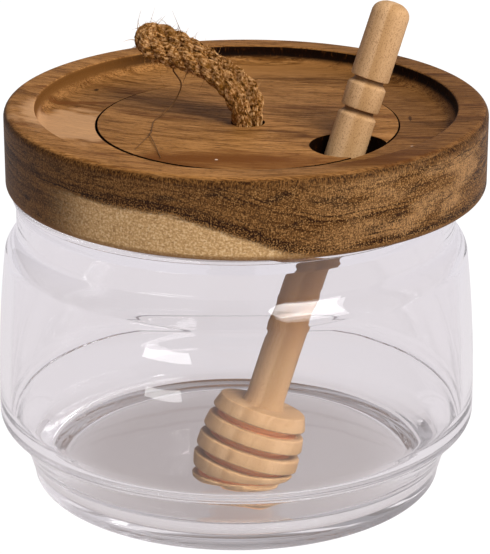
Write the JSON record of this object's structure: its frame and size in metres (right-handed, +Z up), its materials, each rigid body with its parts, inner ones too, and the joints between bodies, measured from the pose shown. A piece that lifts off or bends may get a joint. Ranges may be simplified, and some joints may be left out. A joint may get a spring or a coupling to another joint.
{
  "type": "glass honey pot",
  "caption": "Clear glass honey pot with a stepped foot and waisted neck, a recessed wooden lid with a rope-pulled plug, and a ringed wooden dipper leaning in a notch of the plug.",
  "frame": {"origin": "on the surface that the jar stands on, under the middle of the bounding box", "axes": "+Z up along the jar, -Y out of the front, +X to the side that the dipper's handle leans to"},
  "size_m": [0.1234, 0.1216, 0.1263],
  "materials": {
    "clear_glass": "clear and glossy",
    "lid_wood": "oiled, satin, with long brown grain",
    "plug_wood": "oiled, satin, with long brown grain",
    "jute": "twisted, dry and hairy",
    "dipper_wood": "turned, bare and pale, fine grained"
  },
  "bodies": {
    "root": {"glass_jar": "clear_glass", "lid_ring": "lid_wood", "lid_plug": "plug_wood", "rope_handle": "jute", "honey_dipper": "dipper_wood"}
  },
  "joints": []
}
